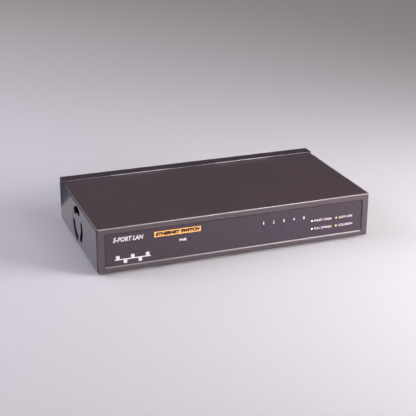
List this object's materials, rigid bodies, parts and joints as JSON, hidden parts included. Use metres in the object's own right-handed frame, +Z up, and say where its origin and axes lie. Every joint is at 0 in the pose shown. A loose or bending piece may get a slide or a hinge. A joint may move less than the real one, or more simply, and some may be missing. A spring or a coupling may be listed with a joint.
{
  "type": "desktop network switch",
  "caption": "Low rectangular desktop network switch: folded steel base, L-shaped cover, recessed printed front, rear jacks and power inlet.",
  "frame": {"origin": "centre of the footprint, on the surface that the feet stand on", "axes": "+X along the width, to the right as seen from the front; -Y out of the front face; +Z up"},
  "size_m": [0.19, 0.104, 0.0336],
  "materials": {
    "chassis_paint": "satin grey powder coat",
    "board_screw_steel": "nickel plated",
    "standoff_brass": "satin",
    "label_paper": "blank satin label",
    "capacitor_tan": "sintered",
    "resistor_black": "glazed",
    "contact_gold": "gold flash",
    "screw_steel": "black zinc",
    "crystal_can": "pressed can",
    "capacitor_sleeve": "shrink sleeve",
    "overlay_film": "printed satin film",
    "pin_nickel": "nickel plated",
    "leaf_nickel": "nickel plated",
    "chip_epoxy": "moulded epoxy",
    "jack_plastic": "moulded black",
    "shield_tin": "tin plated",
    "holder_plastic": "moulded black",
    "led_lens": "diffused lens",
    "board_laminate": "green solder mask",
    "lead_tin": "tin plated",
    "ferrite": "ferrite",
    "inlet_plastic": "moulded black",
    "fuse_green": "coated",
    "foot_rubber": "matt",
    "cover_paint": "satin charcoal powder coat"
  },
  "bodies": {
    "chassis": {"base_chassis": "chassis_paint", "board_screws": "board_screw_steel", "board_standoffs": "standoff_brass", "bottom_label": "label_paper", "chip_capacitors": "capacitor_tan", "chip_resistors": "resistor_black", "cover_screws": "screw_steel", "crystal": "crystal_can", "electrolytic_capacitors": "capacitor_sleeve", "inlet_center_pin": "pin_nickel", "isolation_transformers": "chip_epoxy", "jack_housing": "jack_plastic", "jack_leads": "contact_gold", "jack_shield": "shield_tin", "led_holders": "holder_plastic", "lower_leds": "led_lens", "main_board": "board_laminate", "memory_chip": "chip_epoxy", "memory_chip_leads": "lead_tin", "power_inductor": "ferrite", "power_inlet": "inlet_plastic", "power_led": "led_lens", "rectifier_diode": "chip_epoxy", "regulator_tab": "lead_tin", "resettable_fuse": "fuse_green", "resistor_networks": "resistor_black", "rubber_feet": "foot_rubber", "switch_chip": "chip_epoxy", "switch_chip_leads": "lead_tin", "transformer_leads": "lead_tin", "upper_leds": "led_lens", "voltage_regulator": "chip_epoxy"},
    "cover": {"top_cover": "cover_paint", "front_overlay": "overlay_film"},
    "contacts_1": {"contact_springs_1": "contact_gold"},
    "contacts_2": {"contact_springs_2": "contact_gold"},
    "contacts_3": {"contact_springs_3": "contact_gold"},
    "contacts_4": {"contact_springs_4": "contact_gold"},
    "contacts_5": {"contact_springs_5": "contact_gold"},
    "inlet_leaf": {"inlet_leaf_contact": "leaf_nickel"}
  },
  "joints": [
    {"name": "cover_slide", "type": "slide", "parent": "chassis", "child": "cover", "axis": [0, -1, 0], "range_m": [0, 0.11]},
    {"name": "contact_flex_1", "type": "hinge", "parent": "chassis", "child": "contacts_1", "pos_m": [-0.00394, 0.0462, 0.0202], "axis": [-1, 0, 0], "range_deg": [0, 10], "stiffness_Nm_per_rad": 0.4},
    {"name": "contact_flex_2", "type": "hinge", "parent": "chassis", "child": "contacts_2", "pos_m": [0.01003, 0.0462, 0.0202], "axis": [-1, 0, 0], "range_deg": [0, 10], "stiffness_Nm_per_rad": 0.4},
    {"name": "contact_flex_3", "type": "hinge", "parent": "chassis", "child": "contacts_3", "pos_m": [0.024, 0.0462, 0.0202], "axis": [-1, 0, 0], "range_deg": [0, 10], "stiffness_Nm_per_rad": 0.4},
    {"name": "contact_flex_4", "type": "hinge", "parent": "chassis", "child": "contacts_4", "pos_m": [0.03797, 0.0462, 0.0202], "axis": [-1, 0, 0], "range_deg": [0, 10], "stiffness_Nm_per_rad": 0.4},
    {"name": "contact_flex_5", "type": "hinge", "parent": "chassis", "child": "contacts_5", "pos_m": [0.05194, 0.0462, 0.0202], "axis": [-1, 0, 0], "range_deg": [0, 10], "stiffness_Nm_per_rad": 0.4},
    {"name": "inlet_leaf_flex", "type": "hinge", "parent": "chassis", "child": "inlet_leaf", "pos_m": [-0.058, 0.0394, 0.0106], "axis": [-1, 0, 0], "range_deg": [0, 5], "stiffness_Nm_per_rad": 0.2}
  ]
}
